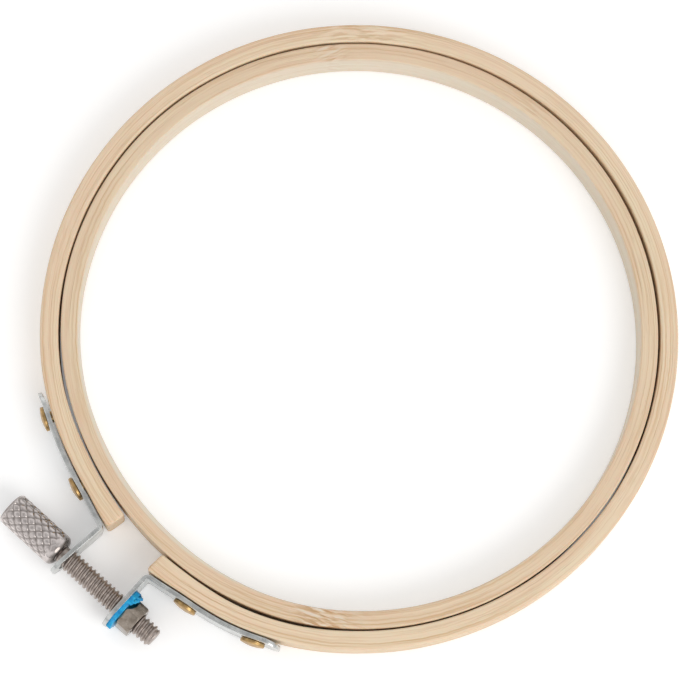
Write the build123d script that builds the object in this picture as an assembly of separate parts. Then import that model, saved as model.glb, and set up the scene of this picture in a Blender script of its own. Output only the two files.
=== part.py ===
from build123d import *
import math
import os

# All lengths are in millimetres. The hoop lies flat on z = 0 with +Z up, its centre is the origin, and the
# clamp screw runs along +X. A name that ends in arc is a place along the outer hoop's round face: its
# distance from the point nearest the screw, positive towards the screw's tip.

# Wooden hoops
hoop_height = 8.15
outer_hoop_radius = 65.0
outer_hoop_wall = 3.8
hoop_clearance = 0.3
inner_hoop_wall = 3.7
hoop_edge_rounding = 0.45
hoop_end_rounding = 0.6

# Split of the outer hoop: where each end face meets the outer and the inner face
knob_end_arc = -10.27
knob_end_inner_arc = -10.04
nut_end_arc = 1.25
nut_end_inner_arc = 1.59

# Where clamping has pressed the hoops out of round: depth, middle and half spread of each place
knob_end_press = 0.75
knob_press_arc = -20.99
knob_press_spread = 27.23
nut_end_press = 0.55
nut_press_arc = 3.97
nut_press_spread = 19.29
nut_side_bulge = 0.25
nut_bulge_arc = 30.63
nut_bulge_spread = 20.42
inner_hoop_press = 0.8
inner_press_arc = -13.61
inner_press_spread = 52.19

# How much the outer hoop's wall thickens towards each end, and over what length
knob_end_swell = 0.5
knob_swell_spread = 9.0
nut_end_swell = 0.6
nut_swell_spread = 10.2

# Clamp screw: how far its axis stands off the outer hoop, then its thread
screw_standoff = 8.9
screw_crest_radius = 2.25
screw_root_radius = 1.8
screw_pitch = 1.05
thread_crest_width = 0.16
thread_root_width = 0.8
thread_foot_depth = 0.1
screw_tip_x = 11.55
screw_tip_chamfer = 0.3
thread_run_out = 0.3
thread_start_x = -12.3
stud_inner_x = -24.0
stud_radius = 1.85

# Knurled knob
knob_radius = 3.55
knob_outer_x = -27.85
knob_inner_x = -13.7
knob_end_chamfer = 0.45
knob_shoulder_rounding = 1.6
knob_bore_clearance = 0.02
knob_bore_end_gap = 0.3

# Steel strip brackets
strip_thickness = 0.9
strip_width = 7.75
strip_seat_gap = 0.3
tail_tip_flat = 1.15
bend_inner_radius = 0.55
lug_tip_flat = 0.15
lug_hole_clearance = 0.35
tail_length = 3.5
tail_lift_angle = 7.0

# Knob side lug: where its middle plane meets the screw axis, its lean to the knob, its reach past the axis
knob_lug_x = -12.27
knob_lug_lean = 6.2
knob_lug_reach = 4.2
knob_leg_start_arc = -13.61
knob_leg_end_arc = -38.23

# Nut side lug
nut_lug_x = 2.2
nut_lug_lean = 0.0
nut_lug_reach = 4.95
nut_leg_start_arc = 4.31
nut_leg_end_arc = 28.7

# Rivets
rivet_head_radius = 2.55
rivet_head_height = 1.1
rivet_rim_height = 0.65
rivet_shank_radius = 1.2
rivet_hole_clearance = 0.03
rivet_tail_radius = 1.9
rivet_tail_height = 0.4
rivet_seat_radius = 2.0
rivet_seat_depth = 0.55
rivet_head_gap = 0.06
knob_outer_rivet_arc = -36.4
knob_inner_rivet_arc = -20.87
nut_inner_rivet_arc = 11.57
nut_outer_rivet_arc = 26.55

# Blue washer and nut
washer_thickness = 0.95
washer_tip_radius = 4.7
washer_root_radius = 4.1
washer_tooth_count = 15
frill_foot_radius = 3.8
frill_foot_width = 0.4
frill_reach = 1.35
frill_flare = 0.55
frill_tip_width = 0.35
frill_arc_degrees = 76.0
frill_middle_degrees = 122.0
washer_bore_clearance = 0.3
stack_gap = 0.02
nut_across_flats = 6.35
nut_thickness = 3.4
nut_chamfer = 0.35
nut_turn = 51.0
nut_bore_clearance = 0.2

# How far each cutting shape runs past what it cuts
overrun = 2.0

# Steps along a pressed stretch of a hoop or a bracket leg
curve_step = 5.0
slope_step = 0.05

screw_height = hoop_height / 2
screw_distance = outer_hoop_radius + screw_standoff
inner_hoop_radius = outer_hoop_radius - outer_hoop_wall - hoop_clearance
full_turn_arc = 2 * math.pi * outer_hoop_radius
knob_press_start = knob_press_arc - knob_press_spread
nut_press_end = nut_bulge_arc + nut_bulge_spread
inner_press_start = inner_press_arc - inner_press_spread
inner_press_end = inner_press_arc + inner_press_spread
split_middle_arc = (knob_end_arc + nut_end_arc) / 2


def swell(arc, middle, spread):
    """A smooth hump that is one in the middle and zero from the spread outwards."""
    away = abs(arc - middle) / spread
    return math.cos(away * math.pi / 2) ** 2 if away < 1 else 0


def outer_hoop_shift(arc):
    """How far the outer hoop is pressed off its circle, outwards positive."""
    if arc < split_middle_arc:
        return -knob_end_press * swell(arc, knob_press_arc, knob_press_spread)
    inward = nut_end_press * swell(arc, nut_press_arc, nut_press_spread)
    outward = nut_side_bulge * swell(arc, nut_bulge_arc, nut_bulge_spread)
    return outward - inward


def outer_hoop_thickening(arc):
    """How much thicker than its wall the outer hoop is, towards its ends."""
    if arc < split_middle_arc:
        return knob_end_swell * swell(arc, knob_end_arc, knob_swell_spread)
    return nut_end_swell * swell(arc, nut_end_arc, nut_swell_spread)


def inner_hoop_shift(arc):
    """How far the inner hoop is pressed off its circle, outwards positive."""
    return -inner_hoop_press * swell(arc, inner_press_arc, inner_press_spread)


def on_circle(radius, arc):
    """The point at a radius on the ray through a place on the outer hoop's round face."""
    turn = arc / outer_hoop_radius
    return Vector(radius * math.sin(turn), -radius * math.cos(turn))


def steps(first, last):
    """Places from first to last, evenly spaced."""
    count = max(2, round(abs(last - first) / curve_step))
    return [first + (last - first) * i / count for i in range(count + 1)]


def heading(place, arc):
    """The direction in which a curve given by its arc runs, for a growing arc."""
    return (place(arc + slope_step) - place(arc - slope_step)).normalized()


def curve(place, first, last):
    """A smooth edge along a curve given by its arc."""
    turn = 1 if last > first else -1
    ends = [heading(place, first) * turn, heading(place, last) * turn]
    return Spline([place(arc) for arc in steps(first, last)], tangents=ends)


def outer_face(distance):
    """The curve at a distance outside the outer hoop's outer face."""
    def place(arc):
        out = distance + outer_hoop_shift(arc) + outer_hoop_thickening(arc)
        return on_circle(outer_hoop_radius + out, arc)
    return place


def outer_hoop_bore(arc):
    """The curve of the outer hoop's inner face."""
    return on_circle(outer_hoop_radius - outer_hoop_wall + outer_hoop_shift(arc), arc)


def inner_face(distance):
    """The curve at a distance outside the inner hoop's outer face."""
    return lambda arc: on_circle(inner_hoop_radius + distance + inner_hoop_shift(arc), arc)


def round_arc(radius, first, last):
    """An arc of a hoop's own circle, counter-clockwise."""
    middle = (first + last) / 2
    return ThreePointArc(on_circle(radius, first), on_circle(radius, middle), on_circle(radius, last))


def closed_ring(distance):
    """The closed outline at a distance outside the inner hoop's outer face."""
    pressed = curve(inner_face(distance), inner_press_start, inner_press_end)
    rest = round_arc(inner_hoop_radius + distance, inner_press_end - full_turn_arc, inner_press_start)
    return make_face(Wire([pressed, rest]))


def make_inner_hoop():
    ring = closed_ring(0) - closed_ring(-inner_hoop_wall)
    hoop = extrude(ring, hoop_height)
    rims = hoop.edges().filter_by_position(Axis.Z, 0, 0)
    rims += hoop.edges().filter_by_position(Axis.Z, hoop_height, hoop_height)
    return fillet(rims, hoop_edge_rounding)


def open_ring_side(side, radius, nut_arc, knob_arc):
    """One long side of the split ring, from the nut end round to the knob end."""
    nut_stretch = curve(side, nut_arc, nut_press_end)
    middle_stretch = round_arc(radius, nut_press_end, knob_press_start + full_turn_arc)
    knob_stretch = curve(side, knob_press_start, knob_arc)
    return [nut_stretch, middle_stretch, knob_stretch]


def make_outer_hoop():
    outer = open_ring_side(outer_face(0), outer_hoop_radius, nut_end_arc, knob_end_arc)
    bore_radius = outer_hoop_radius - outer_hoop_wall
    inner = open_ring_side(outer_hoop_bore, bore_radius, nut_end_inner_arc, knob_end_inner_arc)
    nut_end = Line(outer[0] @ 0, inner[0] @ 0)
    knob_end = Line(outer[2] @ 1, inner[2] @ 1)
    hoop = extrude(make_face(Wire(outer + [knob_end] + inner + [nut_end])), hoop_height)
    corners = hoop.edges().filter_by(Axis.Z)
    corners = [e for e in corners if near_split_end(e.center())]
    hoop = fillet(corners, hoop_end_rounding)
    rims = hoop.edges().filter_by_position(Axis.Z, 0, 0)
    rims += hoop.edges().filter_by_position(Axis.Z, hoop_height, hoop_height)
    hoop = fillet(rims, hoop_edge_rounding)
    for arc in knob_side_rivets() + nut_side_rivets():
        hoop -= rivet_cutter(arc)
    return hoop


def near_split_end(point):
    arc = math.atan2(point.X, -point.Y) * outer_hoop_radius
    ends = (knob_end_arc, knob_end_inner_arc, nut_end_arc, nut_end_inner_arc)
    return any(abs(arc - end) < slope_step for end in ends)


def knob_side_rivets():
    return [knob_outer_rivet_arc, knob_inner_rivet_arc]


def nut_side_rivets():
    return [nut_inner_rivet_arc, nut_outer_rivet_arc]


def rivet_place(arc):
    """The frame on the outer hoop's outer face at a rivet, with Z pointing outwards."""
    foot = outer_face(0)(arc)
    along = heading(outer_face(0), arc)
    return Plane(origin=(foot.X, foot.Y, screw_height), x_dir=(0, 0, 1), z_dir=(along.Y, -along.X, 0))


def rod(radius, low, high):
    """A round rod along Z from low to high."""
    return Pos(0, 0, low) * Cylinder(radius, high - low, align=(Align.CENTER, Align.CENTER, Align.MIN))


def rivet_cutter(arc):
    """What a rivet needs out of the strip and the hoop: a hole, and a seat for its clinched tail."""
    inside = -outer_hoop_wall
    hole = rod(rivet_shank_radius + rivet_hole_clearance, inside - overrun, strip_thickness + overrun)
    seat = rod(rivet_seat_radius, inside - overrun, inside + rivet_seat_depth)
    return rivet_place(arc).location * (hole + seat)


def make_rivet(arc):
    under_head = strip_seat_gap + strip_thickness + rivet_head_gap
    tail_top = rivet_seat_depth - outer_hoop_wall
    tail_face = tail_top - rivet_tail_height
    crown = under_head + rivet_head_height
    rim_top = under_head + rivet_rim_height
    rise = crown - rim_top
    dome_radius = (rivet_head_radius ** 2 + rise ** 2) / (2 * rise)
    lean = math.asin(rivet_head_radius / dome_radius) / 2
    halfway = (dome_radius * math.sin(lean), crown - dome_radius * (1 - math.cos(lean)))
    dome = ThreePointArc((0, crown), halfway, (rivet_head_radius, rim_top))
    lines = Polyline(
        (rivet_head_radius, rim_top),
        (rivet_head_radius, under_head),
        (rivet_shank_radius, under_head),
        (rivet_shank_radius, tail_top),
        (rivet_tail_radius, tail_top),
        (rivet_tail_radius, tail_face),
        (0, tail_face),
        (0, crown),
    )
    outline = Plane.XZ * make_face(Wire([dome] + lines.edges()))
    return rivet_place(arc).location * revolve(outline, Axis.Z)


def meeting_point(point, direction, other_point, other_direction):
    """Where two lines in the XY plane cross."""
    across = Vector(other_direction.Y, -other_direction.X)
    share = (other_point - point).dot(across) / direction.dot(across)
    return point + direction * share


def strip_side(distance, leg_start, leg_end, lug_point, lug_end):
    """One side of a bracket's outline, from the lug's end round the bend to the leg's free end."""
    side = outer_face(distance)
    turn = 1 if leg_end > leg_start else -1
    leg = curve(side, leg_start, leg_end)
    corner = meeting_point(side(leg_start), heading(side, leg_start), lug_point, lug_end - lug_point)
    lifted = heading(side, leg_end).rotate(Axis.Z, -turn * tail_lift_angle) * turn
    tail_end = side(leg_end) + lifted * tail_length
    edges = [Line(lug_end, corner), Line(corner, side(leg_start)), leg, Line(side(leg_end), tail_end)]
    return edges, corner


def make_bracket(lug_x, lug_lean, lug_reach, leg_start, leg_end, rivets):
    """A strip bent into a leg that follows the hoop and a lug for the screw."""
    turn = 1 if leg_end > leg_start else -1
    lean = math.radians(lug_lean)
    down = Vector(-math.sin(lean), -math.cos(lean)) * lug_reach
    side_step = Vector(math.cos(lean), -math.sin(lean)) * (strip_thickness / 2)
    middle = Vector(lug_x, -screw_distance)
    back = middle - side_step * turn
    front = middle + side_step * turn
    free_distance = strip_seat_gap + strip_thickness
    seat_side, outer_corner = strip_side(strip_seat_gap, leg_start, leg_end, back, back + down)
    free_side, inner_corner = strip_side(free_distance, leg_start, leg_end, front, front + down)
    lug_close = Line(seat_side[0] @ 0, free_side[0] @ 0)
    tail_close = Line(seat_side[-1] @ 1, free_side[-1] @ 1)
    outline = make_face(Wire(seat_side + [tail_close] + free_side + [lug_close]))
    low = screw_height - strip_width / 2
    strip = Pos(0, 0, low) * extrude(outline, strip_width)
    outer_bend = nearest_edge(strip.edges().filter_by(Axis.Z), outer_corner)
    strip = fillet(outer_bend, bend_inner_radius + strip_thickness)
    inner_bend = nearest_edge(strip.edges().filter_by(Axis.Z), inner_corner)
    strip = fillet(inner_bend, bend_inner_radius)
    strip = fillet(short_edges_near(strip, lug_close.center()), (strip_width - lug_tip_flat) / 2)
    strip = fillet(short_edges_near(strip, tail_close.center()), (strip_width - tail_tip_flat) / 2)
    for arc in rivets:
        strip -= rivet_cutter(arc)
    return strip - screw_hole(screw_crest_radius + lug_hole_clearance)


def nearest_edge(edges, point):
    def apart(edge):
        centre = edge.center()
        return math.hypot(centre.X - point.X, centre.Y - point.Y)
    return sorted(edges, key=apart)[0]


def short_edges_near(solid, point):
    """The two edges across the strip's thickness at one of its ends."""
    def apart(edge):
        centre = edge.center()
        return math.hypot(centre.X - point.X, centre.Y - point.Y)
    level = [e for e in solid.edges() if abs((e @ 0).Z - (e @ 1).Z) < slope_step * strip_thickness]
    return sorted(level, key=apart)[:2]


def along_screw(shape):
    """Turns a shape made along Z so that it lies on the screw's axis, its Z becoming X."""
    return Pos(0, -screw_distance, screw_height) * Rot(0, 90, 0) * shape


def screw_hole(radius):
    reach = outer_hoop_radius
    return along_screw(rod(radius, -reach, reach))


def make_knob():
    body = rod(knob_radius, knob_outer_x, knob_inner_x)
    outer_rim = body.edges().sort_by(Axis.Z)[0]
    body = chamfer(outer_rim, knob_end_chamfer)
    inner_rim = body.edges().sort_by(Axis.Z)[-1]
    body = fillet(inner_rim, knob_shoulder_rounding)
    bore = rod(stud_radius + knob_bore_clearance, stud_inner_x - knob_bore_end_gap, knob_inner_x + overrun)
    return along_screw(body - bore)


def make_shaft():
    stud = rod(stud_radius, stud_inner_x, thread_start_x)
    core = rod(screw_root_radius, stud_inner_x, screw_tip_x)
    core = chamfer(core.edges().sort_by(Axis.Z)[-1], screw_tip_chamfer)
    return along_screw(stud + (core + thread_ridge()))


def thread_ridge():
    """The right-hand ridge of the thread, its foot inside the core."""
    low = screw_root_radius - thread_foot_depth
    start = thread_start_x + thread_run_out
    path = Helix(screw_pitch, screw_tip_x - screw_tip_chamfer - thread_run_out - start, low)
    half_root = thread_root_width / 2
    half_crest = thread_crest_width / 2
    high = screw_crest_radius - low
    profile = Polyline((0, -half_root), (high, -half_crest), (high, half_crest), (0, half_root), close=True)
    section = Plane(origin=path @ 0, x_dir=(1, 0, 0), z_dir=path % 0) * make_face(profile)
    return Pos(0, 0, start) * sweep(section, path, is_frenet=True)


def star():
    """The washer's toothed outline, as wide as the strip lets it be."""
    points = []
    for i in range(2 * washer_tooth_count):
        radius = washer_tip_radius if i % 2 == 0 else washer_root_radius
        turn = math.pi * (0.5 + i / washer_tooth_count)
        points.append((radius * math.cos(turn), radius * math.sin(turn)))
    return make_face(Polyline(points, close=True)) & Rectangle(strip_width, 2 * washer_tip_radius)


def make_washer():
    """A toothed disc whose teeth on the hoop's side are bent over towards the nut."""
    seat_x = nut_lug_x + strip_thickness / 2 + stack_gap
    disc = extrude(star(), washer_thickness)
    frill_profile = Plane.XZ * make_face(Polyline(
        (frill_foot_radius, 0),
        (frill_foot_radius + frill_foot_width, 0),
        (frill_foot_radius + frill_flare, washer_thickness + frill_reach - frill_tip_width),
        (frill_foot_radius + frill_flare - frill_tip_width, washer_thickness + frill_reach),
        (frill_foot_radius, washer_thickness),
        close=True,
    ))
    frill = revolve(frill_profile, Axis.Z, frill_arc_degrees)
    frill = Rot(0, 0, frill_middle_degrees - frill_arc_degrees / 2) * frill
    frill = frill & extrude(star(), washer_thickness + frill_reach)
    disc = disc + frill
    disc -= rod(screw_crest_radius + washer_bore_clearance, -overrun, washer_thickness + overrun)
    return along_screw(Pos(0, 0, seat_x) * disc)


def make_nut():
    low = nut_lug_x + strip_thickness / 2 + washer_thickness + 2 * stack_gap
    high = low + nut_thickness
    corner_radius = nut_across_flats / math.sqrt(3)
    hexagon = RegularPolygon(corner_radius, 6, rotation=nut_turn)
    body = Pos(0, 0, low) * extrude(hexagon, nut_thickness)
    rounding = rod(corner_radius, low, high)
    rounding = chamfer(rounding.edges().filter_by(GeomType.CIRCLE), nut_chamfer)
    body = body & rounding
    body -= rod(screw_crest_radius + nut_bore_clearance, low - overrun, high + overrun)
    return along_screw(body)


def write(name, shape):
    shape.label = name
    export_step(shape, os.path.join("parts", name + ".step"))
    print(name, round(shape.volume, 2), len(shape.solids()), shape.is_valid)


os.makedirs("parts", exist_ok=True)
write("inner_hoop", make_inner_hoop())
write("outer_hoop", make_outer_hoop())
write("knob_side_bracket", make_bracket(
    knob_lug_x, knob_lug_lean, knob_lug_reach, knob_leg_start_arc, knob_leg_end_arc, knob_side_rivets(),
))
write("nut_side_bracket", make_bracket(
    nut_lug_x, nut_lug_lean, nut_lug_reach, nut_leg_start_arc, nut_leg_end_arc, nut_side_rivets(),
))
write("knob_side_outer_rivet", make_rivet(knob_outer_rivet_arc))
write("knob_side_inner_rivet", make_rivet(knob_inner_rivet_arc))
write("nut_side_inner_rivet", make_rivet(nut_inner_rivet_arc))
write("nut_side_outer_rivet", make_rivet(nut_outer_rivet_arc))
write("knurled_knob", make_knob())
write("threaded_shaft", make_shaft())
write("blue_lock_washer", make_washer())
write("hex_nut", make_nut())
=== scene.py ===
import bmesh
import bpy
import math
from mathutils import Matrix, Vector, noise


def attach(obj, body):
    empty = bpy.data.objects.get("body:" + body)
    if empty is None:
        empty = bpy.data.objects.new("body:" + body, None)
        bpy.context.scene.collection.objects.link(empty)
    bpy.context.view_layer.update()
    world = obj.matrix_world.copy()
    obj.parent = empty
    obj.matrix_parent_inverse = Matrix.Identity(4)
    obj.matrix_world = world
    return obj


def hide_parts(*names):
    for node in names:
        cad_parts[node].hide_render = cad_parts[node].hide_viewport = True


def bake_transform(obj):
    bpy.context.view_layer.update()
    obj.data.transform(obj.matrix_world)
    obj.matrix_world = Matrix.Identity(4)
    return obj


# Lengths are in millimetres: MM turns them into metres, and MM_PER_METRE turns metres into them. The named
# angles are in degrees, unless a comment says otherwise.
MM = 0.001
MM_PER_METRE = 1000.0

# Hoops, as in the CAD source. A place along a hoop is an arc: the distance on the outer hoop's round face
# from the point nearest the screw, positive towards the screw's tip.
HOOP_HEIGHT = 8.15
OUTER_RADIUS = 65.0
OUTER_WALL = 3.8
HOOP_CLEARANCE = 0.3
INNER_RADIUS = OUTER_RADIUS - OUTER_WALL - HOOP_CLEARANCE
INNER_WALL = 3.7
EDGE_ROUNDING = 0.45
END_ROUNDING = 0.6
KNOB_END, KNOB_END_INNER = -10.27, -10.04
NUT_END, NUT_END_INNER = 1.25, 1.59

# Depth, middle and spread of the places where a hoop leaves its circle or its wall gets thicker
KNOB_PRESS = (0.75, -20.99, 27.23)
NUT_PRESS = (0.55, 3.97, 19.29)
NUT_BULGE = (0.25, 30.63, 20.42)
INNER_PRESS = (0.8, -13.61, 52.19)
KNOB_SWELL = (0.5, KNOB_END, 9.0)
NUT_SWELL = (0.6, NUT_END, 10.2)

# The arc of a full turn
FULL_TURN = math.tau * OUTER_RADIUS

# Clamp screw, as in the CAD source
SCREW_Y = -73.9
SCREW_Z = HOOP_HEIGHT / 2
CREST_RADIUS = 2.25
ROOT_RADIUS = 1.8
PITCH = 1.05
TIP_X = 11.55
THREAD_START_X = -12.3
STUD_START_X = -24.0
STUD_RADIUS = 1.85
KNOB_RADIUS = 3.55
KNOB_OUTER_X = -27.85
KNOB_INNER_X = -13.7
KNOB_CHAMFER = 0.45
KNOB_SHOULDER = 1.6

# Rivets, as in the CAD source
RIVET_ARCS = {
    "knob_side_outer_rivet": -36.4,
    "knob_side_inner_rivet": -20.87,
    "nut_side_inner_rivet": 11.57,
    "nut_side_outer_rivet": 26.55,
}
STRIP_SEAT_GAP = 0.3
STRIP_THICKNESS = 0.9
HEAD_GAP = 0.06
UNDER_HEAD = STRIP_SEAT_GAP + STRIP_THICKNESS + HEAD_GAP
HEAD_RADIUS = 2.55
HEAD_RIM = 0.65
HEAD_HEIGHT = 1.1
SHANK_RADIUS = 1.2
TAIL_RADIUS = 1.9
TAIL_HEIGHT = 0.4
SEAT_RADIUS = 2.0
SEAT_DEPTH = 0.55

# The bodies that the pieces ride on
ROOT = "outer_hoop_knob_side"
NUT_SIDE = "nut_side_clamp"
SCREW = "clamp_screw"
INNER = "inner_hoop"


# Mesh helpers

# Edges sharper than this stay sharp in the shading; the screw's fine grooves need a larger angle
SHARP_ANGLE = 40
SCREW_SHARP_ANGLE = 60


def new_object(name, mesh):
    obj = bpy.data.objects.new(name, mesh)
    bpy.context.scene.collection.objects.link(obj)
    return obj


def mesh_from_grid(name, rows, close_rows, caps):
    """A mesh over rows of points, each row a closed loop. It closes on itself, or caps close its ends."""
    verts = [p for row in rows for p in row]
    width = len(rows[0])
    count = len(rows)
    faces = []
    for i in range(count if close_rows else count - 1):
        k = (i + 1) % count
        for j in range(width):
            n = (j + 1) % width
            faces.append((i * width + j, i * width + n, k * width + n, k * width + j))
    if caps:
        faces.append(tuple(reversed(range(width))))
        faces.append(tuple(range((count - 1) * width, count * width)))
    mesh = bpy.data.meshes.new(name)
    mesh.from_pydata(verts, [], faces)
    outward(mesh)
    return mesh


def outward(mesh):
    bm = bmesh.new()
    bm.from_mesh(mesh)
    bmesh.ops.recalc_face_normals(bm, faces=bm.faces)
    bm.to_mesh(mesh)
    bm.free()


def smooth(mesh, sharp_angle=SHARP_ANGLE):
    mesh.shade_smooth()
    mesh.set_sharp_from_angle(angle=math.radians(sharp_angle))


def add_piece(name, mesh, node, body, material, sharp_angle=SHARP_ANGLE):
    """Adds a piece that stands for a CAD node and rides on a body; a piece given no body rides on none."""
    smooth(mesh, sharp_angle)
    mesh.materials.clear()
    mesh.materials.append(material)
    obj = new_object(name, mesh)
    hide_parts(node)
    if body:
        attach(obj, body)
    return obj


def lathe(name, profile, segments):
    """A mesh turned about Z from (radius, height) points; a radius of zero closes an end."""
    verts, rings = [], []
    for radius, height in profile:
        if radius == 0:
            rings.append([len(verts)] * segments)
            verts.append((0, 0, height))
            continue
        rings.append([len(verts) + i for i in range(segments)])
        for i in range(segments):
            turn = math.tau * i / segments
            verts.append((radius * math.cos(turn), radius * math.sin(turn), height))
    faces = []
    for low, high in zip(rings, rings[1:]):
        for i in range(segments):
            k = (i + 1) % segments
            face = [low[i], low[k], high[k], high[i]]
            face = [v for n, v in enumerate(face) if v not in face[:n]]
            if len(face) > 2:
                faces.append(face)
    mesh = bpy.data.meshes.new(name)
    mesh.from_pydata(verts, [], faces)
    outward(mesh)
    return mesh


def arc_points(centre, radius, first, last, count):
    """Points on an arc in the (radius, height) plane, with angles in degrees."""
    points = []
    for i in range(count + 1):
        angle = math.radians(first + (last - first) * i / count)
        points.append((centre[0] + radius * math.cos(angle), centre[1] + radius * math.sin(angle)))
    return points


def along_screw(mesh):
    """Lays a mesh made about Z on the screw's axis: its Z becomes X, its X becomes Y and its Y becomes Z."""
    turn = Matrix(((0, 0, 1, 0), (1, 0, 0, SCREW_Y), (0, 1, 0, SCREW_Z), (0, 0, 0, 1)))
    mesh.transform(Matrix.Scale(MM, 4) @ turn)
    return mesh


# Hoops

def swell(arc, depth, middle, spread):
    """A smooth hump along a hoop."""
    away = abs(arc - middle) / spread
    return depth * math.cos(away * math.pi / 2) ** 2 if away < 1 else 0


def on_knob_side(arc):
    return arc < (KNOB_END + NUT_END) / 2


def outer_shift(arc):
    """How far the outer hoop is pressed off its circle, outwards positive."""
    if on_knob_side(arc):
        return -swell(arc, *KNOB_PRESS)
    return swell(arc, *NUT_BULGE) - swell(arc, *NUT_PRESS)


def thickening(arc):
    """How much thicker than its wall the outer hoop is, towards its ends."""
    return swell(arc, *(KNOB_SWELL if on_knob_side(arc) else NUT_SWELL))


def inner_shift(arc):
    return -swell(arc, *INNER_PRESS)


def rounded_section(width, height, inset, corner_steps=5, side_steps=4):
    """A hoop's section as a loop of (distance inside the outer face, height) points."""
    low, high = inset, height - inset
    near, far = inset, width - inset
    r = EDGE_ROUNDING
    corners = [
        (far - r, low + r, -90),
        (far - r, high - r, 0),
        (near + r, high - r, 90),
        (near + r, low + r, 180),
    ]
    loop = []
    for n, (cx, cz, start) in enumerate(corners):
        for i in range(corner_steps + 1):
            angle = math.radians(start + 90 * i / corner_steps)
            loop.append((cx + r * math.cos(angle), cz + r * math.sin(angle)))
        ahead = corners[(n + 1) % len(corners)]
        turn = math.radians(ahead[2])
        begin = loop[-1]
        end = (ahead[0] + r * math.cos(turn), ahead[1] + r * math.sin(turn))
        for i in range(1, side_steps):
            share = i / side_steps
            loop.append((begin[0] + (end[0] - begin[0]) * share, begin[1] + (end[1] - begin[1]) * share))
    return loop


# The sanded faces lie inside the CAD faces, by the inset and by a swing that comes and goes along the hoop
FACE_INSET = 0.02
FACE_SWING = 0.05
FACE_SWING_SPEED = 7.5
SWING_CHANGE_INWARDS, SWING_CHANGE_UPWARDS = 0.3, 0.2
OUTER_SEED, INNER_SEED = 7, 31


def wander(arc, speed, seed):
    """A slow random swing along a hoop, from zero to one, the same after a full turn."""
    turn = arc / OUTER_RADIUS
    place = Vector((math.cos(turn) * speed, math.sin(turn) * speed, seed))
    return 0.5 + 0.5 * noise.noise(place)


def hand_made(arc, inside, height, seed):
    """A slight unevenness of the sanded faces, in millimetres, never outside the CAD face."""
    layer = inside * SWING_CHANGE_INWARDS + height * SWING_CHANGE_UPWARDS + seed
    return -FACE_INSET - FACE_SWING * wander(arc, FACE_SWING_SPEED, layer)


def point_at(radius, arc, height):
    turn = arc / OUTER_RADIUS
    return (radius * math.sin(turn) * MM, -radius * math.cos(turn) * MM, height * MM)


def hoop_row(base, slant, radius, wall, shifts, inset, seed):
    """One section of a hoop. The slant moves its inner side along the hoop, the shifts its two faces."""
    row = []
    for inside, height in rounded_section(wall, HOOP_HEIGHT, inset):
        across = inside / wall
        arc = base + slant * across
        uneven = hand_made(arc, inside, height, seed)
        out = 1 if inside < wall / 2 else -1
        shift = shifts[0] * (1 - across) + shifts[1] * across
        up = 1 if height > HOOP_HEIGHT / 2 else 0
        row.append(point_at(radius + shift - inside + uneven * out, arc, height + uneven * up))
    return row


def end_inset(distance):
    """How far the faces are drawn in at a distance from the outer hoop's rounded end."""
    if distance >= END_ROUNDING:
        return 0
    back = 1 - distance / END_ROUNDING
    return END_ROUNDING * (1 - math.sqrt(max(0, 1 - back * back)))


# How the gap between the hoops varies: its random swing, its mean narrowing, and the depth, middle and spread
# of a wide and of a close stretch, measured from the nut side end. It fades out towards the hoop's ends.
GAP_WANDER = 0.2
GAP_WANDER_SPEED = 2.6
GAP_SEED = 4.0
GAP_NARROWING = 0.1
FAR_GAP = (0.26, 180.0, 52.0)
CLOSE_GAP = (0.1, 78.0, 50.0)
GAP_FADE = 60

# Sections of the outer hoop: close ones by its rounded ends, then even steps. Its ends are cut at a slant,
# which fades out over the slant's reach.
END_STATIONS = [0, 0.02, 0.08, 0.18, 0.32, 0.46, 0.6, 0.9]
EVEN_FROM = 1.4
HOOP_STEPS = 720
SLANT_REACH = 16.0


def outer_hoop_mesh():
    span = KNOB_END + FULL_TURN - NUT_END
    even_span = span - 2 * EVEN_FROM
    middle = [EVEN_FROM + even_span * i / HOOP_STEPS for i in range(HOOP_STEPS + 1)]
    places = END_STATIONS + middle + [span - s for s in reversed(END_STATIONS)]
    rows = []
    for s in places:
        arc = NUT_END + s
        if s > span / 2:
            arc -= FULL_TURN
        slant = (NUT_END_INNER - NUT_END) * max(0, 1 - s / SLANT_REACH)
        slant += (KNOB_END_INNER - KNOB_END) * max(0, 1 - (span - s) / SLANT_REACH)
        shift = outer_shift(arc)
        far = min(1, s / GAP_FADE, (span - s) / GAP_FADE)
        uneven = GAP_WANDER * wander(arc, GAP_WANDER_SPEED, GAP_SEED) - GAP_NARROWING
        bore = shift + far * (uneven + swell(s, *FAR_GAP) - swell(s, *CLOSE_GAP))
        shifts = (shift + thickening(arc), bore)
        inset = end_inset(min(s, span - s))
        rows.append(hoop_row(arc, slant, OUTER_RADIUS, OUTER_WALL, shifts, inset, OUTER_SEED))
    return mesh_from_grid("outer_hoop_wood", rows, False, True)


def inner_hoop_mesh():
    rows = []
    for i in range(HOOP_STEPS):
        arc = FULL_TURN * (i / HOOP_STEPS - 0.5)
        shift = inner_shift(arc)
        rows.append(hoop_row(arc, 0, INNER_RADIUS, INNER_WALL, (shift, shift), 0, INNER_SEED))
    return mesh_from_grid("inner_hoop_wood", rows, True, False)


def rivet_matrix(arc):
    """The frame on the outer hoop's outer face at a rivet, in millimetres, with Z pointing outwards."""
    step = 0.05

    def foot(s):
        r = OUTER_RADIUS + outer_shift(s) + thickening(s)
        turn = s / OUTER_RADIUS
        return Vector((r * math.sin(turn), -r * math.cos(turn), SCREW_Z))

    along = (foot(arc + step) - foot(arc - step)).normalized()
    out = Vector((along.y, -along.x, 0))
    up = Vector((0, 0, 1))
    side = out.cross(up)
    turned = Matrix((up, side, out)).transposed().to_4x4()
    return Matrix.Translation(foot(arc)) @ turned


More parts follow.
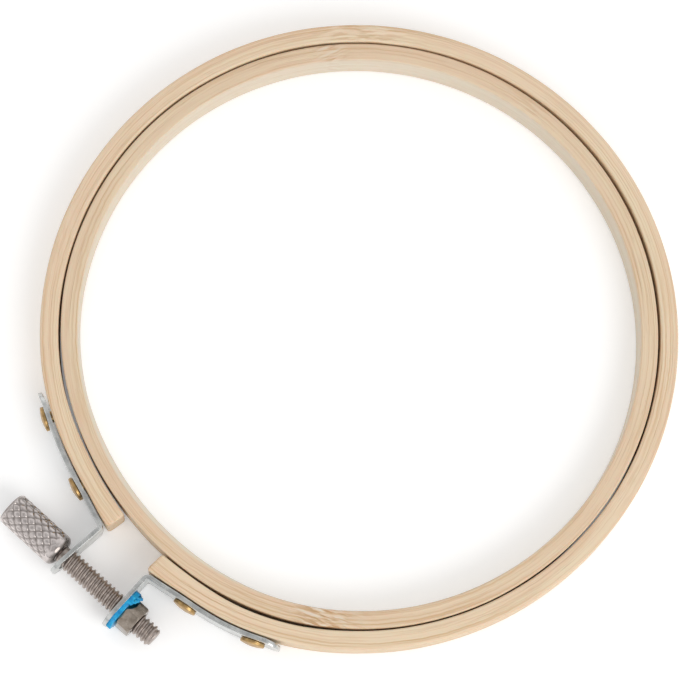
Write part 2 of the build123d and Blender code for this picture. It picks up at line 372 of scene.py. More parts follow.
# The rivets: the rounding of their rims, how dented their crowns are, and the seats cut for their tails
RIVET_SOFTNESS = 0.14
RIVET_CROWN_STEPS = 9
RIVET_SIDES = 72
RIVET_DENT = 0.035
RIVET_DENT_SCALE = 1.1
SEAT_SIDES = 48
SEAT_OVERRUN = 2


def rivet_mesh(name, arc):
    """A rivet with a softened rim, a slightly dented flat crown and a clinched tail."""
    under = UNDER_HEAD
    rim = under + HEAD_RIM
    crown = under + HEAD_HEIGHT
    tail_top = SEAT_DEPTH - OUTER_WALL
    tail = tail_top - TAIL_HEIGHT
    soft = RIVET_SOFTNESS
    profile = [(0, tail), (TAIL_RADIUS - soft, tail)]
    profile += arc_points((TAIL_RADIUS - soft, tail + soft), soft, first=-80, last=80, count=5)
    profile += [(SHANK_RADIUS, tail_top), (SHANK_RADIUS, under), (HEAD_RADIUS - soft, under)]
    profile += arc_points((HEAD_RADIUS - soft, under + soft), soft, first=-80, last=0, count=4)
    profile += arc_points((HEAD_RADIUS - 2 * soft, rim - soft), 2 * soft, first=0, last=55, count=5)
    edge = profile[-1]
    for i in range(1, RIVET_CROWN_STEPS + 1):
        share = i / RIVET_CROWN_STEPS
        radius = edge[0] * (1 - share) if i < RIVET_CROWN_STEPS else 0
        rise = (crown - edge[1]) * math.sin(share * math.pi / 2)
        profile.append((radius, edge[1] + rise))
    mesh = lathe(name, profile, RIVET_SIDES)
    for v in mesh.vertices:
        if v.co.z > rim:
            place = Vector((v.co.x, v.co.y, arc)) * RIVET_DENT_SCALE
            v.co.z -= RIVET_DENT * (1 + noise.noise(place))
    mesh.transform(Matrix.Scale(MM, 4) @ rivet_matrix(arc))
    return mesh


def cut_seats(hoop):
    """Sinks the seats of the rivets' clinched tails into the outer hoop's inner face."""
    joined = bmesh.new()
    for arc in RIVET_ARCS.values():
        low, high = -OUTER_WALL - SEAT_OVERRUN, -OUTER_WALL + SEAT_DEPTH
        profile = [(0, low), (SEAT_RADIUS, low), (SEAT_RADIUS, high), (0, high)]
        seat = lathe("seat", profile, SEAT_SIDES)
        seat.transform(Matrix.Scale(MM, 4) @ rivet_matrix(arc))
        joined.from_mesh(seat)
    cutter_mesh = bpy.data.meshes.new("seats")
    joined.to_mesh(cutter_mesh)
    joined.free()
    cutter = new_object("seats", cutter_mesh)
    cut = hoop.modifiers.new("seats", "BOOLEAN")
    cut.operation = "DIFFERENCE"
    cut.solver = "EXACT"
    cut.object = cutter
    bpy.context.view_layer.update()
    result = hoop.evaluated_get(bpy.context.evaluated_depsgraph_get())
    shaped = bpy.data.meshes.new_from_object(result)
    hoop.modifiers.clear()
    bpy.data.objects.remove(cutter)
    hoop.data = shaped
    smooth(shaped)


# Clamp screw

# The thread's crest and flank as shares of half the pitch, and how much lower than nominal its crest is worn
CREST_SHARE = 0.2
FLANK_SHARE = 0.62
CREST_WEAR_SHARE = 0.03

# How the thread runs in and out along the shaft, the shaft's ends, and how it is dented: the depth, and how
# fast that changes round it and along it
RUN_IN = 0.5
RUN_OUT = 0.6
RUN_OUT_END_GAP = 0.15
THREAD_END_GAP = 0.3
STUD_CHAMFER = 0.2
TIP_EDGE = 0.1
TIP_DROPS = (0.05, 0.2)
SHAFT_DENT = 0.012
SHAFT_DENT_SPEEDS = (2, 1.7)
SHAFT_SIDES = 56
STEPS_PER_TURN = 16


def ridge_share(turns):
    """The thread's height at a place in the pitch, from zero at the root to one at the crest."""
    away = abs((turns % 1) - 0.5) * 2
    flank = min(1, max(0, (away - CREST_SHARE) / FLANK_SHARE))
    return 0.5 + 0.5 * math.cos(flank * math.pi) if flank < 1 else 0


def thread_radius(turn, x):
    """The shaft's radius at a place on its thread, which fades in and out at its ends."""
    fade = min(1, (x - THREAD_START_X) / RUN_IN, (TIP_X - RUN_OUT_END_GAP - x) / RUN_OUT)
    rise = (CREST_RADIUS - ROOT_RADIUS) * max(0, fade)
    around, along = SHAFT_DENT_SPEEDS
    dent = SHAFT_DENT * noise.noise(Vector((math.cos(turn) * around, math.sin(turn) * around, x * along)))
    share = ridge_share((x - THREAD_START_X) / PITCH - turn / math.tau)
    return ROOT_RADIUS + rise * share * (1 - CREST_WEAR_SHARE) + dent


def ring_of(x, sides, radius_of):
    """A loop of points round the screw's axis, whose radius depends on the turn."""
    ring = []
    for j in range(sides):
        turn = math.tau * j / sides
        radius = radius_of(turn)
        ring.append((radius * math.cos(turn), radius * math.sin(turn), x))
    return ring


def shaft_mesh():
    rows = []

    def plain_row(x, radius):
        rows.append(ring_of(x, SHAFT_SIDES, lambda turn: radius))

    plain_row(STUD_START_X, STUD_RADIUS - STUD_CHAMFER)
    plain_row(STUD_START_X + STUD_CHAMFER, STUD_RADIUS)
    plain_row(THREAD_START_X - RUN_IN, STUD_RADIUS)
    length = TIP_X - THREAD_END_GAP - THREAD_START_X
    count = int(length / PITCH * STEPS_PER_TURN)
    for i in range(count + 1):
        x = THREAD_START_X + length * i / count
        rows.append(ring_of(x, SHAFT_SIDES, lambda turn: thread_radius(turn, x)))
    plain_row(TIP_X - TIP_EDGE, ROOT_RADIUS - TIP_DROPS[0])
    plain_row(TIP_X, ROOT_RADIUS - TIP_DROPS[1])
    return along_screw(mesh_from_grid("threaded_shaft_detail", rows, False, True))


# The knob's knurl: crossing helical grooves, the plain share of the way between two of them, and how domed
# the diamonds are
KNURL_STARTS = 11
KNURL_PERIOD = 2.03
KNURL_DEPTH = 0.24
KNURL_LAND = 0.4
KNURL_DOME = 0.6


def knurl(turn, x):
    """How deep the crossing grooves cut at a place on the knob's barrel, from zero to one."""
    deepest, dome = 0, 0
    for hand in (1, -1):
        phase = KNURL_STARTS * turn / math.tau + hand * x / KNURL_PERIOD
        edge = abs((phase % 1) * 2 - 1)
        groove = max(0, (edge - KNURL_LAND) / (1 - KNURL_LAND))
        deepest = max(deepest, groove * groove * (3 - 2 * groove))
        dome += edge * edge / 2
    return min(1, deepest * (1 - KNURL_DOME) + dome * KNURL_DOME)


# The knob's end face, and its rim as (drop below the barrel, distance from the face, share of groove depth)
KNOB_FACE_RADII = (0.25, 0.7, 1.4, 2.1, 2.6)
KNOB_FACE_DISH = 0.03
KNOB_RIM = (
    (KNOB_CHAMFER + 0.08, 0, 0),
    (KNOB_CHAMFER - 0.02, 0.03, 0),
    (KNOB_CHAMFER / 2, KNOB_CHAMFER / 2, 0),
    (0.06, KNOB_CHAMFER - 0.04, 0.1),
)

# Where the grooves fade in and out along the barrel
BARREL_INSET = 0.05
FADE_IN_START = 0.35
FADE_IN = 0.5
FADE_OUT = 0.9
FADE_OUT_GAP = 0.15

# The mouth round the shaft, as (radius, depth)
KNOB_MOUTH = ((1.95, 0), (1.88, 0.07), (1.87, 1.2))
KNOB_SIDES = 330
KNOB_STEPS = 190
SHOULDER_STEPS = 10


def knob_mesh():
    rows = []

    def row(radius, x, fade):
        ring = ring_of(x, KNOB_SIDES, lambda turn: radius - KNURL_DEPTH * fade * knurl(turn, x))
        rows.append(ring)

    for n, radius in enumerate(KNOB_FACE_RADII):
        row(radius, KNOB_OUTER_X + (0 if n else KNOB_FACE_DISH), 0)
    for drop, depth, fade in KNOB_RIM:
        row(KNOB_RADIUS - drop, KNOB_OUTER_X + depth, fade)
    barrel_end = KNOB_INNER_X - KNOB_SHOULDER
    first = KNOB_OUTER_X + KNOB_CHAMFER + BARREL_INSET
    for i in range(KNOB_STEPS + 1):
        x = first + (barrel_end - first) * i / KNOB_STEPS
        fade_in = FADE_IN_START + (x - first) / FADE_IN
        fade_out = max(0, (barrel_end - FADE_OUT_GAP - x) / FADE_OUT)
        row(KNOB_RADIUS, x, min(1, fade_in, fade_out))
    centre = (KNOB_RADIUS - KNOB_SHOULDER, barrel_end)
    shoulder = arc_points(centre, KNOB_SHOULDER, first=0, last=90, count=SHOULDER_STEPS)
    for radius, x in shoulder[1:]:
        row(radius, x, 0)
    for radius, depth in KNOB_MOUTH:
        row(radius, KNOB_INNER_X - depth, 0)
    return along_screw(mesh_from_grid("knurled_knob_detail", rows, False, True))


# Pieces that keep their CAD shape, with broken edges. Neighbouring faces whose angle is below the flat angle
# are joined first.
WELD_DISTANCE = 0.001
FLAT_ANGLE = 0.6
EDGE_SEGMENTS = 2
BRACKET_EDGE = 0.12
NUT_EDGE = 0.16
NUT_EDGE_ANGLE = 20
WASHER_EDGE = 0.07


def broken_edge_mesh(node, width, min_angle=35):
    """A CAD piece's mesh with the edges that are sharper than an angle rounded off to a width."""
    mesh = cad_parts[node].data.copy()
    bm = bmesh.new()
    bm.from_mesh(mesh)
    bmesh.ops.remove_doubles(bm, verts=bm.verts, dist=WELD_DISTANCE * MM)
    flat = math.radians(FLAT_ANGLE)
    bmesh.ops.dissolve_limit(bm, angle_limit=flat, verts=bm.verts, edges=bm.edges)
    limit = math.radians(min_angle)
    edges = [e for e in bm.edges if len(e.link_faces) == 2 and e.calc_face_angle(0) > limit]
    bmesh.ops.bevel(bm, geom=edges, offset=width * MM, segments=EDGE_SEGMENTS, profile=0.5,
                    affect="EDGES", clamp_overlap=True)
    bm.to_mesh(mesh)
    bm.free()
    mesh.name = node + "_detail"
    return mesh


# The washer's frill: where it starts along the screw, the heights above the axis between which it grows to
# its full reach, its least share of that reach, and how torn its rim is
FRILL_FOOT_X = 3.6
FRILL_MARGIN = 0.1
FRILL_FADE = (0.7, 3.1)
FRILL_LEAST_SHARE = 0.12
FRILL_TEAR = 0.5
FRILL_TEAR_SPEED = 9
FRILL_SEED = (2.0, 5.0)
FRILL_LONG_EDGE = 0.4
FRILL_CUTS = 3


def washer_mesh():
    """The washer of the CAD model with its edges broken and the frill's rim torn."""
    mesh = broken_edge_mesh("blue_lock_washer", WASHER_EDGE)
    work = bmesh.new()
    work.from_mesh(mesh)
    low = (FRILL_FOOT_X - FRILL_MARGIN) * MM
    long_edges = []
    for edge in work.edges:
        if min(v.co.x for v in edge.verts) > low and edge.calc_length() > FRILL_LONG_EDGE * MM:
            long_edges.append(edge)
    bmesh.ops.subdivide_edges(work, edges=long_edges, cuts=FRILL_CUTS, use_grid_fill=True)
    for v in work.verts:
        over = v.co.x / MM - FRILL_FOOT_X
        if over <= 0:
            continue
        above = v.co.y / MM - SCREW_Y
        turn = math.atan2(v.co.z / MM - SCREW_Z, above)
        rise = (above - FRILL_FADE[0]) / (FRILL_FADE[1] - FRILL_FADE[0])
        reach = min(1, max(FRILL_LEAST_SHARE, rise))
        torn = 0.5 + 0.5 * noise.noise(Vector((turn * FRILL_TEAR_SPEED, *FRILL_SEED)))
        reach *= 1 - FRILL_TEAR * torn
        v.co.x = (FRILL_FOOT_X + over * reach) * MM
    work.to_mesh(mesh)
    work.free()
    return mesh


# Materials

class Shader:
    """A material's node tree with short ways to add nodes."""

    def __init__(self, name):
        self.material = bpy.data.materials.new(name)
        self.material.use_nodes = True
        self.tree = self.material.node_tree
        self.tree.nodes.clear()
        self.out = self.add("ShaderNodeOutputMaterial")
        self.bsdf = self.add("ShaderNodeBsdfPrincipled")
        self.link(self.bsdf.outputs[0], self.out.inputs[0])

    def add(self, kind, **settings):
        node = self.tree.nodes.new(kind)
        for key, value in settings.items():
            setattr(node, key, value)
        return node

    def link(self, source, target):
        self.tree.links.new(source, target)

    def put(self, target, value):
        """Gives an input a socket or a plain value."""
        if isinstance(value, bpy.types.NodeSocket):
            self.link(value, target)
        else:
            target.default_value = value

    def math(self, operation, *values):
        node = self.add("ShaderNodeMath", operation=operation)
        for i, value in enumerate(values):
            self.put(node.inputs[i], value)
        return node.outputs[0]

    def position(self):
        return self.add("ShaderNodeTexCoord").outputs["Object"]

    def noise(self, vector, scale, detail=3.0, roughness=0.5, w=None, distortion=0.0):
        node = self.add("ShaderNodeTexNoise", noise_dimensions="3D" if w is None else "4D")
        self.link(vector, node.inputs["Vector"])
        if w is not None:
            self.put(node.inputs["W"], w)
        node.inputs["Scale"].default_value = scale
        node.inputs["Detail"].default_value = detail
        node.inputs["Roughness"].default_value = roughness
        node.inputs["Distortion"].default_value = distortion
        return node.outputs[0]

    def ramp(self, value, stops):
        """A colour by a value, between stops of (value, colour)."""
        node = self.add("ShaderNodeValToRGB")
        while len(node.color_ramp.elements) < len(stops):
            node.color_ramp.elements.new(0.5)
        for element, (place, colour) in zip(node.color_ramp.elements, stops):
            element.position = place
            element.color = (*colour, 1)
        self.link(value, node.inputs[0])
        return node.outputs[0]

    def span(self, value, low, high, to_low=0.0, to_high=1.0):
        """Maps low to to_low and high to to_high, evenly between them and held beyond them."""
        node = self.add("ShaderNodeMapRange")
        for i, number in enumerate((value, low, high, to_low, to_high)):
            self.put(node.inputs[i], number)
        return node.outputs[0]

    def length(self, a, b):
        """The length of a flat vector."""
        return self.math("SQRT", self.math("ADD", self.math("MULTIPLY", a, a), self.math("MULTIPLY", b, b)))

    def mix(self, share, first, second):
        """The first colour where the share is zero, the second where it is one."""
        node = self.add("ShaderNodeMix", data_type="RGBA")
        self.put(node.inputs[0], share)
        # The node's colour sockets are its inputs 6 and 7 and its output 2
        for target, value in ((node.inputs[6], first), (node.inputs[7], second)):
            if isinstance(value, tuple):
                value = (*value, 1)
            self.put(target, value)
        return node.outputs[2]

    def combine(self, x, y, z):
        node = self.add("ShaderNodeCombineXYZ")
        for i, value in enumerate((x, y, z)):
            self.put(node.inputs[i], value)
        return node.outputs[0]

    def split(self, vector):
        node = self.add("ShaderNodeSeparateXYZ")
        self.link(vector, node.inputs[0])
        return node.outputs

    def bump(self, height, distance, strength):
        node = self.add("ShaderNodeBump")
        node.inputs["Strength"].default_value = strength
        node.inputs["Distance"].default_value = distance
        self.link(height, node.inputs["Height"])
        return node.outputs[0]

    def finish(self, colour, roughness, normal, **constants):
        self.link(colour, self.bsdf.inputs["Base Color"])
        self.link(roughness, self.bsdf.inputs["Roughness"])
        self.link(normal, self.bsdf.inputs["Normal"])
        for key, value in constants.items():
            self.bsdf.inputs[key.replace("_", " ")].default_value = value
        return self.material


def srgb(red, green, blue):
    """A colour given in 0 to 255 display values, as linear light."""
    def linear(value):
        value /= 255
        return value / 12.92 if value <= 0.04045 else ((value + 0.055) / 1.055) ** 2.4
    return tuple(linear(v) for v in (red, green, blue))


def scaled(tone, factor):
    """A tone made lighter or darker by a factor."""
    return tuple(min(1, factor * part) for part in tone)


# Bamboo: how fast its fibres sway along a hoop, how deep their relief is, and how deep light goes into it
SWAY_SPEED = 18.0
FIBRE_RELIEF = 0.05
WOOD_DEPTH = 1.2


def bamboo(name, seed, tones, wall_tone, pale_below, growth_marks, mark_skew):
    """Split bamboo bent round into a hoop: fibres run round it, and growth marks cross them in places.

    The side that faces inwards, below the radius pale_below, is the wall's tone.
    """
    s = Shader(name)
    cream, peach, ochre, brown = tones
    x, y, z = s.split(s.position())
    radius = s.length(x, y)
    cosine = s.math("DIVIDE", x, radius)
    sine = s.math("DIVIDE", y, radius)
    radius_mm = s.math("MULTIPLY", radius, MM_PER_METRE)
    height_mm = s.math("MULTIPLY", z, MM_PER_METRE)

    def grain(around, across, detail, roughness, shift, wave=0.0, skew=0.0):
        """Noise drawn out along the hoop: around and across are its sizes in millimetres."""
        k = OUTER_RADIUS / around
        r = radius_mm
        if wave:
            round_x = s.math("MULTIPLY", cosine, SWAY_SPEED)
            round_y = s.math("MULTIPLY", sine, SWAY_SPEED)
            turned = s.combine(round_x, round_y, shift)
            sway = s.math("SUBTRACT", s.noise(turned, scale=1.0, detail=2.0), 0.5)
            r = s.math("ADD", r, s.math("MULTIPLY", sway, wave))
        if skew:
            r = s.math("ADD", r, s.math("MULTIPLY", sine, skew))
        layer = s.math("DIVIDE", r, across)
        vector = s.combine(s.math("MULTIPLY", cosine, k), s.math("MULTIPLY", sine, k), layer)
        w = s.math("ADD", s.math("DIVIDE", height_mm, across), seed + shift)
        return s.noise(vector, 1.0, detail, roughness, w)

    def near(angle, half_width):
        """One at an angle round the hoop, fading smoothly on both sides; at the half width it is 0.6."""
        a = math.radians(angle)
        along_x = s.math("MULTIPLY", cosine, math.cos(a))
        along_y = s.math("MULTIPLY", sine, math.sin(a))
        lined = s.math("ADD", along_x, along_y)
        power = s.math("MULTIPLY", s.math("SUBTRACT", lined, 1.0), (OUTER_RADIUS / half_width) ** 2)
        return s.math("EXPONENT", power)

    broad = grain(around=70.0, across=2.6, detail=2.0, roughness=0.5, shift=0.0, wave=0.8)
    patch = grain(around=16.0, across=1.1, detail=3.0, roughness=0.5, shift=7.0, wave=0.7)
    line = grain(around=60.0, across=0.34, detail=2.0, roughness=0.5, shift=13.0, wave=0.5)
    fibre = grain(around=24.0, across=0.15, detail=3.0, roughness=0.55, shift=29.0, wave=0.4)
    pore = grain(around=3.2, across=0.11, detail=2.0, roughness=0.5, shift=41.0)

    colour = s.mix(s.span(broad, 0.36, 0.62), cream, peach)
    colour = s.mix(s.span(patch, 0.52, 0.7, 0.0, 0.5), colour, scaled(cream, 1.04))
    colour = s.mix(s.span(patch, 0.46, 0.3, 0.0, 0.35), colour, ochre)
    colour = s.mix(s.span(line, 0.52, 0.68, 0.0, 0.85), colour, ochre)
    colour = s.mix(s.span(line, 0.46, 0.3, 0.0, 0.45), colour, scaled(cream, 1.07))
    colour = s.mix(s.span(fibre, 0.55, 0.74, 0.0, 0.6), colour, brown)
    pore_share = s.span(pore, 0.66, 0.74, 0.0, 0.3)
    colour = s.mix(pore_share, colour, scaled(brown, 0.6))

    lens = grain(around=4.2, across=0.5, detail=2.0, roughness=0.5, shift=61.0, wave=0.8, skew=mark_skew)
    for angle, half_width, strength in growth_marks:
        here = near(angle, half_width)
        dark = s.math("MULTIPLY", here, s.span(lens, 0.5, 0.6, 0.0, strength))
        colour = s.mix(dark, colour, s.mix(0.5, ochre, brown))
        light = s.math("MULTIPLY", here, s.span(lens, 0.48, 0.38, 0.0, 0.8 * strength))
        colour = s.mix(light, colour, scaled(wall_tone, 1.05))

    if pale_below:
        inner_side = s.span(radius_mm, pale_below + 0.3, pale_below - 0.05, 0.0, 0.85)
        wall = s.mix(s.span(line, 0.35, 0.75, 0.0, 0.35), wall_tone, cream)
        colour = s.mix(inner_side, colour, wall)

    relief = s.math("ADD", s.math("MULTIPLY", fibre, 0.6), s.math("MULTIPLY", line, 0.7))
    relief = s.math("SUBTRACT", relief, s.math("MULTIPLY", pore_share, 1.2))
    normal = s.bump(relief, FIBRE_RELIEF * MM, 0.5)
    roughness = s.span(line, 0.3, 0.7, 0.52, 0.66)
    return s.finish(colour, roughness, normal, Specular_IOR_Level=0.3, Subsurface_Weight=0.12,
                    Subsurface_Scale=WOOD_DEPTH * MM)


# Scales of a metal's fine lines, scratches with their painted glints, and tarnish, for places in metres, and
# how far rolling draws them out
LINE_SCALE = 4200.0
SCRATCH_GLINT_SCALE = 1500.0
TARNISH_SCALE = 600.0
ROLLED_STRETCH = 0.012


def metal(name, light, dark, rough_low, rough_high, blotch, relief=0.01, tarnish=None, rolled=False,
          groove=None):
    """Metal with blotches of a size, fine lines, scratches painted lighter as glints, and painted shade in
    grooves. Rolling draws the lines out round the hoop.
    """
    s = Shader(name)
    place = s.position()
    if rolled:
        x, y, z = s.split(place)
        radius = s.length(x, y)
        turned = [s.math("MULTIPLY", s.math("DIVIDE", part, radius), ROLLED_STRETCH) for part in (x, y)]
        stretched = s.combine(turned[0], turned[1], s.math("ADD", radius, z))
    else:
        stretched = place
    cloud = s.noise(place, MM_PER_METRE / blotch, detail=4.0, roughness=0.6)
    lines = s.noise(stretched, LINE_SCALE, detail=3.0, roughness=0.6)
    scratch = s.noise(stretched, SCRATCH_GLINT_SCALE, detail=2.0, roughness=0.5, distortion=0.6)
    colour = s.mix(s.span(cloud, 0.3, 0.7), dark, light)
    # Painted highlight: the scratches are real marks, lightened in colour to stand for glints on them
    scratch_glint_share = s.span(scratch, 0.58, 0.7, 0.0, 0.4)
    colour = s.mix(scratch_glint_share, colour, scaled(light, 1.25))
    if tarnish:
        spots = s.noise(place, TARNISH_SCALE, detail=5.0, roughness=0.65)
        colour = s.mix(s.span(spots, 0.56, 0.72, 0.0, 0.7), colour, tarnish)
    # Painted shade: the knob's grooves are darkened towards the axis, where shade falls in them
    if groove:
        deep, shallow, groove_shade = groove
        x, y, z = s.split(place)
        y, z = s.math("SUBTRACT", y, SCREW_Y * MM), s.math("SUBTRACT", z, SCREW_Z * MM)
        from_axis = s.math("MULTIPLY", s.length(y, z), MM_PER_METRE)
        colour = s.mix(s.span(from_axis, shallow, deep, 0.0, 0.85), colour, groove_shade)
    mixed = s.math("ADD", s.math("MULTIPLY", lines, 0.5), s.math("MULTIPLY", cloud, 0.5))
    roughness = s.span(mixed, 0.35, 0.65, rough_low, rough_high)
    height = s.math("ADD", s.math("MULTIPLY", lines, 0.5), cloud)
    normal = s.bump(height, relief * MM, 0.6)
    return s.finish(colour, roughness, normal, Metallic=1.0)


# Blue fibre: its tones, its clouds' scale for places in metres, its relief and how deep light goes into it
BLUE_TONES = [(0.3, srgb(0, 120, 182)), (0.5, srgb(0, 156, 212)), (0.72, srgb(50, 190, 230))]
BLUE_SCALE = 900.0
BLUE_RELIEF = 0.09
BLUE_DEPTH = 0.6


def blue_plastic(name):
    s = Shader(name)
    cloud = s.noise(s.position(), BLUE_SCALE, detail=4.0, roughness=0.6)
    colour = s.ramp(cloud, BLUE_TONES)
    normal = s.bump(cloud, BLUE_RELIEF * MM, 0.6)
    roughness = s.span(cloud, 0.3, 0.7, 0.26, 0.45)
    return s.finish(colour, roughness, normal, Subsurface_Weight=0.1, Subsurface_Scale=BLUE_DEPTH * MM)


# Stage

# Places and sizes of the stage, in metres
FLOOR_SIZE = 12.0
FLOOR_DROP = 0.0002
FLOOR_WHITE = 0.95
FLOOR_GLOW = 0.2
LAMP_PLACE = (0.85, -0.15, 0.72)
LAMP_SIZE = 0.8
LAMP_POWER = 4.5
LAMP_COLOUR = (1, 0.985, 0.965)


def make_floor():
    """A plain white floor. Its faint even glow for the camera makes it white where no shadow falls."""
    s = Shader("studio_floor")
    s.bsdf.inputs["Base Color"].default_value = (FLOOR_WHITE, FLOOR_WHITE, FLOOR_WHITE, 1)
    s.bsdf.inputs["Roughness"].default_value = 0.9
    glow = s.add("ShaderNodeEmission")
    path = s.add("ShaderNodeLightPath")
    seen = s.math("MAXIMUM", path.outputs["Is Camera Ray"], path.outputs["Is Glossy Ray"])
    seen = s.math("MAXIMUM", seen, path.outputs["Is Transmission Ray"])
    s.link(s.math("MULTIPLY", seen, FLOOR_GLOW), glow.inputs["Strength"])
    both = s.add("ShaderNodeAddShader")
    s.link(s.bsdf.outputs[0], both.inputs[0])
    s.link(glow.outputs[0], both.inputs[1])
    s.link(both.outputs[0], s.out.inputs[0])
    size, low = FLOOR_SIZE, -FLOOR_DROP
    mesh = bpy.data.meshes.new("studio_floor")
    corners = [(-size, -size, low), (size, -size, low), (size, size, low), (-size, size, low)]
    mesh.from_pydata(corners, [], [(0, 1, 2, 3)])
    mesh.materials.append(s.material)
    new_object("studio_floor", mesh)


# The sky's strength by height above the horizon, from 0 at the horizon to 1 straight up
SKY = ((0.0, 0.3), (0.15, 0.85), (0.5, 1.1), (0.76, 0.95), (0.9, 0.72), (1.0, 0.62))
SKY_STRENGTH = 0.88


def make_world():
    """A soft studio sky. The pale background is the floor's, and the sky only lights the object."""
    world = bpy.data.worlds.new("studio_world")
    bpy.context.scene.world = world
    world.use_nodes = True
    tree = world.node_tree
    tree.nodes.clear()
    out = tree.nodes.new("ShaderNodeOutputWorld")
    lit = tree.nodes.new("ShaderNodeBackground")
    place = tree.nodes.new("ShaderNodeTexCoord")
    parts = tree.nodes.new("ShaderNodeSeparateXYZ")
    ramp = tree.nodes.new("ShaderNodeValToRGB")
    while len(ramp.color_ramp.elements) < len(SKY):
        ramp.color_ramp.elements.new(0.5)
    for element, (height, strength) in zip(ramp.color_ramp.elements, SKY):
        element.position = height
        element.color = (strength, strength, strength, 1)
    tree.links.new(place.outputs["Generated"], parts.inputs[0])
    tree.links.new(parts.outputs[2], ramp.inputs[0])
    tree.links.new(ramp.outputs[0], lit.inputs["Color"])
    lit.inputs["Strength"].default_value = SKY_STRENGTH
    tree.links.new(lit.outputs[0], out.inputs[0])


def add_light(name, place, target, size, power, colour):
    data = bpy.data.lights.new(name, "AREA")
    data.shape = "DISK"
    data.size = size
    data.energy = power
    data.color = colour
    lamp = bpy.data.objects.new(name, data)
    bpy.context.scene.collection.objects.link(lamp)
    lamp.location = place
    lamp.rotation_euler = (Vector(target) - Vector(place)).to_track_quat("-Z", "Y").to_euler()


# The photograph's camera, fitted to the hoops' rims: its focal length and the frame's width in pixels, its
# tilt in radians, its place against the hoops in outer radii, and how far the screw is turned in the frame
CAMERA_FOCAL = 3000
FRAME_WIDTH = 680
SENSOR_WIDTH = 36
CAMERA_TILT = (-0.21003, 0.03272, 0)
CAMERA_OFFSET = (0.05919, 0.00542, -9.50228)
SCREW_ANGLE = 42.364


def make_camera():
    data = bpy.data.cameras.new("photo_camera")
    data.sensor_width = SENSOR_WIDTH
    data.lens = SENSOR_WIDTH * CAMERA_FOCAL / FRAME_WIDTH
    data.clip_start = 0.01
    data.clip_end = 50
    camera = bpy.data.objects.new("photo_camera", data)
    bpy.context.scene.collection.objects.link(camera)
    tilt = Vector(CAMERA_TILT)
    view = Matrix.Rotation(tilt.length, 3, tilt.normalized())
    turn = Matrix.Rotation(math.radians(SCREW_ANGLE), 3, "Z")
    offset = Vector(CAMERA_OFFSET) * OUTER_RADIUS * MM
    place = turn @ (view.transposed() @ -offset)
    camera.matrix_world = Matrix.Translation(place) @ (turn @ view.transposed()).to_4x4()
    bpy.context.scene.camera = camera


# Tones of the two hoops: cream, peach, ochre and brown, and a pale one for the wall and the growth marks
OUTER_TONES = (srgb(229, 210, 181), srgb(227, 200, 172), srgb(209, 176, 136), srgb(174, 132, 92))
OUTER_PALE = srgb(236, 225, 205)
INNER_TONES = (srgb(225, 206, 177), srgb(222, 195, 167), srgb(205, 172, 132), srgb(168, 126, 84))
INNER_PALE = srgb(221, 214, 200)

# Growth marks, as (angle round the hoop, half width, strength), and how far they are skewed across the hoop
OUTER_MARKS = [(132.0, 7.0, 0.5), (12.0, 5.0, 0.15), (205.0, 5.0, 0.12)]
OUTER_MARK_SKEW = -5.0
INNER_MARKS = [(305.0, 4.6, 1.0), (138.0, 2.2, 0.6), (95.0, 4.0, 0.2)]
INNER_MARK_SKEW = -22.0

# Painted shade in the knob's grooves: the distances from the axis where it is full and where it ends, and its
# tone
KNURL_GROOVE_SHADE = (KNOB_RADIUS - 0.2, KNOB_RADIUS - 0.04, srgb(134, 126, 122))


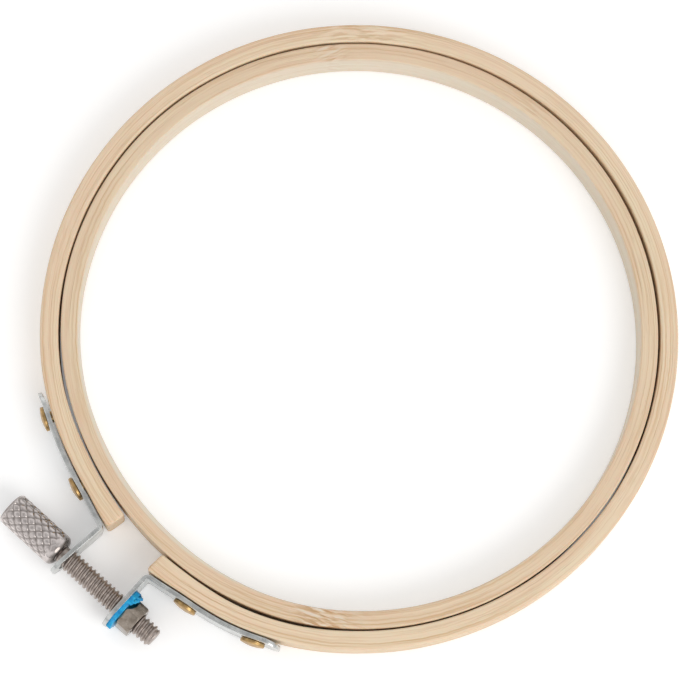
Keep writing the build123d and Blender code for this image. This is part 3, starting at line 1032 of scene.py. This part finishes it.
def make_materials():
    """The materials by name."""
    return {
        "outer_wood": bamboo("bamboo_outer", 3.0, OUTER_TONES, OUTER_PALE, None, OUTER_MARKS,
                             OUTER_MARK_SKEW),
        "inner_wood": bamboo("bamboo_inner", 57.0, INNER_TONES, INNER_PALE, INNER_RADIUS - INNER_WALL,
                             INNER_MARKS, INNER_MARK_SKEW),
        "zinc": metal("zinc_plate", srgb(220, 221, 219), srgb(182, 184, 183), 0.16, 0.34, blotch=2.2,
                      relief=0.02, rolled=True),
        "nickel": metal("nickel_plate", srgb(222, 214, 211), srgb(190, 181, 178), 0.1, 0.2, blotch=1.2,
                        tarnish=srgb(150, 139, 134), groove=KNURL_GROOVE_SHADE),
        "nut_nickel": metal("nut_nickel", srgb(176, 165, 154), srgb(132, 120, 108), 0.08, 0.2, blotch=2.0,
                            tarnish=srgb(100, 86, 74)),
        "thread_nickel": metal("thread_nickel", srgb(190, 179, 172), srgb(152, 141, 134), 0.26, 0.4,
                               blotch=0.9, tarnish=srgb(122, 108, 98)),
        "brass": metal("aged_brass", srgb(206, 172, 118), srgb(164, 132, 88), 0.26, 0.42, blotch=1.6,
                       tarnish=srgb(120, 94, 66)),
        "blue": blue_plastic("blue_fibre"),
    }


def bend_hoop(outer):
    """Bakes the outer hoop's placement into its mesh."""
    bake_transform(outer)


# The scene itself

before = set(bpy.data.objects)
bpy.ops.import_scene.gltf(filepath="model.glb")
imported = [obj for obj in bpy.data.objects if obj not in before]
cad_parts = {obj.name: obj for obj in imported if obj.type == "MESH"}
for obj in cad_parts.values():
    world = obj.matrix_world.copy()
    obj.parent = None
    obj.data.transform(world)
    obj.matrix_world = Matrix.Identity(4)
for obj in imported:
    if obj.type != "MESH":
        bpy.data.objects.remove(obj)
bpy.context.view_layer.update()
looks = make_materials()

outer = add_piece("outer_hoop_wood", outer_hoop_mesh(), "outer_hoop", None, looks["outer_wood"])
cut_seats(outer)
bend_hoop(outer)
add_piece("inner_hoop_wood", inner_hoop_mesh(), "inner_hoop", INNER, looks["inner_wood"])

for node, arc in RIVET_ARCS.items():
    body = ROOT if node.startswith("knob") else NUT_SIDE
    piece = node + "_detail"
    add_piece(piece, rivet_mesh(piece, arc), node, body, looks["brass"])
for node, body in (("knob_side_bracket", ROOT), ("nut_side_bracket", NUT_SIDE)):
    mesh = broken_edge_mesh(node, BRACKET_EDGE)
    add_piece(node + "_detail", mesh, node, body, looks["zinc"])

add_piece("knurled_knob_detail", knob_mesh(), "knurled_knob", SCREW, looks["nickel"],
          SCREW_SHARP_ANGLE)
add_piece("threaded_shaft_detail", shaft_mesh(), "threaded_shaft", SCREW,
          looks["thread_nickel"], SCREW_SHARP_ANGLE)
nut_mesh = broken_edge_mesh("hex_nut", NUT_EDGE, NUT_EDGE_ANGLE)
add_piece("hex_nut_detail", nut_mesh, "hex_nut", NUT_SIDE, looks["nut_nickel"])
add_piece("blue_lock_washer_detail", washer_mesh(), "blue_lock_washer", NUT_SIDE,
          looks["blue"])

bpy.context.scene.view_settings.view_transform = "Standard"
make_floor()
make_world()
add_light("key_light", LAMP_PLACE, (0, 0, 0), LAMP_SIZE, LAMP_POWER, LAMP_COLOUR)
make_camera()
